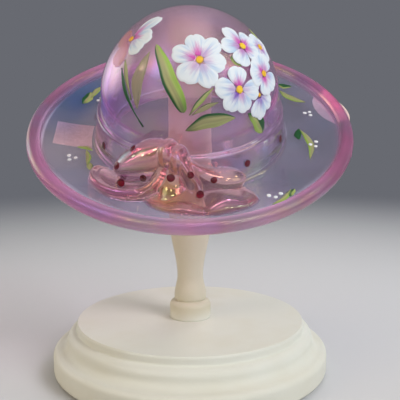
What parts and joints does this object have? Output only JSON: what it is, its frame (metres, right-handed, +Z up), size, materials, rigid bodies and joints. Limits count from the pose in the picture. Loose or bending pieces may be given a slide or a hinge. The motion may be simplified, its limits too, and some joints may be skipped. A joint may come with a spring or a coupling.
{
  "type": "glass hat on stand",
  "caption": "Pink iridescent pressed-glass hat with a ribbon bow and enamel flowers, tilted on a cream turned wooden stand.",
  "frame": {"origin": "centre of the stand's underside, on the spindle axis", "axes": "+Z up along the spindle, -Y the front, where the bow is, +X to the right as seen from the front"},
  "size_m": [0.2028, 0.1816, 0.2208],
  "materials": {
    "pink_glass": "pressed glass with a pink iridescent surface",
    "white_enamel": "fired enamel, brushed on",
    "yellow_enamel": "fired enamel, brushed on",
    "green_enamel": "fired enamel, brushed on",
    "maroon_enamel": "fired enamel, brushed on",
    "cream_painted_wood": "satin cream paint over turned wood",
    "label_paper": "matt, blank",
    "green_felt": "short-pile felt",
    "pale_felt": "short-pile felt",
    "zinc_steel": "zinc-plated"
  },
  "bodies": {
    "stand": {"base_felt": "green_felt", "stand_base": "cream_painted_wood", "base_screw": "zinc_steel", "spindle": "cream_painted_wood"},
    "pad": {"rest_pad": "pale_felt"},
    "hat": {"hat_glass": "pink_glass", "flower_petals": "white_enamel", "flower_eyes": "yellow_enamel", "crown_leaves": "green_enamel", "brim_leaves": "green_enamel", "brim_dots": "white_enamel", "ribbon_dots": "maroon_enamel", "square_label": "label_paper", "oval_label": "label_paper"}
  },
  "joints": [
    {"name": "hat_turn", "type": "hinge", "parent": "stand", "child": "pad", "pos_m": [0, 0, 0.213], "axis": [0, 0, 1], "continuous": true},
    {"name": "hat_lift", "type": "slide", "parent": "pad", "child": "hat", "axis": [0, 0, 1], "range_m": [0, 0.14]}
  ]
}
